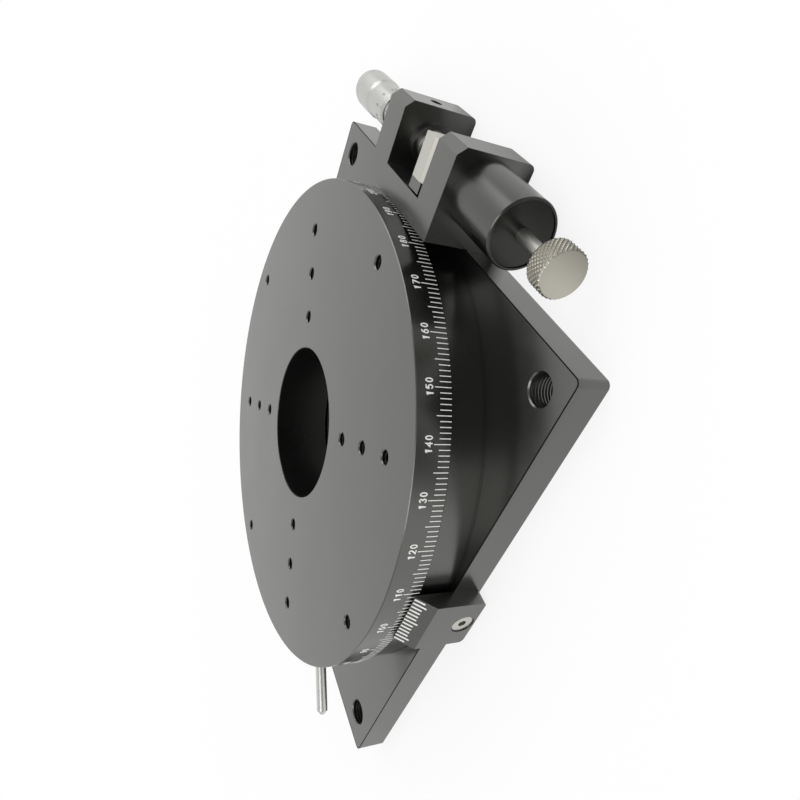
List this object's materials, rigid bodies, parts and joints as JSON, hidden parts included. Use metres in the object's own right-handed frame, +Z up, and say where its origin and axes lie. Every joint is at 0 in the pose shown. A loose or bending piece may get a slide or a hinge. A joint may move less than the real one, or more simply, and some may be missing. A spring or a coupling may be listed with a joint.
{
  "type": "rotation stage",
  "caption": "Low round rotation stage on a square base: free coarse turning on a ball bearing, lock rod, and a side micrometer working against a spring plunger for fine turning.",
  "frame": {"origin": "centre of the base's underside, on the table's axis of rotation", "axes": "+Z up along the axis of rotation, +X towards the drive bracket, -Y towards the vernier block"},
  "size_m": [0.1622, 0.1442, 0.026],
  "materials": {
    "black_anodised": "matte black anodised",
    "screw_steel": "satin stainless",
    "black_screw": "black oxide",
    "bearing_steel": "ground and polished",
    "satin_chrome": "satin chrome plated",
    "nickel_plate": "satin nickel plated",
    "hard_tip": "lapped carbide",
    "spring_steel": "plain wire",
    "brass_pad": "turned",
    "bronze": "sintered bronze",
    "ptfe": "matte white",
    "cage_polymer": "matte"
  },
  "bodies": {
    "base": {"base_plate": "black_anodised", "stator_hub": "black_anodised", "hub_screws": "screw_steel", "bearing_outer_race": "bearing_steel", "outer_retainer": "black_anodised", "outer_retainer_screws": "screw_steel", "thrust_washer": "ptfe", "keeper_ring": "black_anodised", "keeper_screws": "screw_steel", "drive_bracket": "black_anodised", "bracket_screws": "black_screw", "micrometer_sleeve": "satin_chrome", "micrometer_nut": "black_anodised", "micrometer_set_screw": "black_screw", "plunger_housing": "black_anodised", "plunger_cap": "black_anodised", "plunger_spring": "spring_steel", "vernier_block": "black_anodised", "vernier_screw": "screw_steel"},
    "fine_ring": {"clamp_ring": "black_anodised", "slide_bush": "bronze", "drive_arm": "black_anodised", "arm_screws": "screw_steel", "contact_plate": "nickel_plate", "contact_screw": "screw_steel", "contact_dowel": "bearing_steel"},
    "table": {"rotating_table": "black_anodised", "bearing_inner_race": "bearing_steel", "inner_retainer": "black_anodised", "inner_retainer_screws": "screw_steel", "lock_pad": "brass_pad"},
    "lock": {"lock_screw": "satin_chrome"},
    "cage": {"bearing_cage": "cage_polymer", "bearing_balls": "bearing_steel"},
    "spindle": {"micrometer_spindle": "satin_chrome", "spindle_tip": "hard_tip"},
    "thimble": {"micrometer_thimble": "satin_chrome", "thimble_cap": "satin_chrome"},
    "plunger": {"plunger_pin": "satin_chrome", "plunger_knob": "satin_chrome"}
  },
  "joints": [
    {"name": "fine_turn", "type": "hinge", "parent": "base", "child": "fine_ring", "pos_m": [0, 0, 0], "axis": [0, 0, 1], "range_deg": [0, 7.51]},
    {"name": "coarse_turn", "type": "hinge", "parent": "fine_ring", "child": "table", "pos_m": [0, 0, 0], "axis": [0, 0, 1], "continuous": true},
    {"name": "cage_turn", "type": "hinge", "parent": "base", "child": "cage", "pos_m": [0, 0, 0], "axis": [0, 0, 1], "continuous": true},
    {"name": "lock_turn", "type": "hinge", "parent": "table", "child": "lock", "pos_m": [-0.04741, -0.05551, 0.022], "axis": [-0.6494, -0.7604, 0], "range_deg": [0, 180]},
    {"name": "spindle_slide", "type": "slide", "parent": "base", "child": "spindle", "axis": [0, 1, 0], "range_m": [0, 0.01092]},
    {"name": "thimble_turn", "type": "hinge", "parent": "spindle", "child": "thimble", "pos_m": [0.0832, 0, 0.01], "axis": [0, 1, 0], "range_deg": [0, 7840]},
    {"name": "plunger_slide", "type": "slide", "parent": "base", "child": "plunger", "axis": [0, 1, 0], "range_m": [0, 0.01092], "deforming": ["plunger_spring"]}
  ],
  "couplings": [
    {"joint": "fine_turn", "follows": "thimble_turn", "ratio": 0.00095648},
    {"joint": "spindle_slide", "follows": "thimble_turn", "m_per_rad": 0.000079577},
    {"joint": "plunger_slide", "follows": "thimble_turn", "m_per_rad": 0.000079577},
    {"joint": "cage_turn", "follows": "coarse_turn", "ratio": 0.4646}
  ]
}
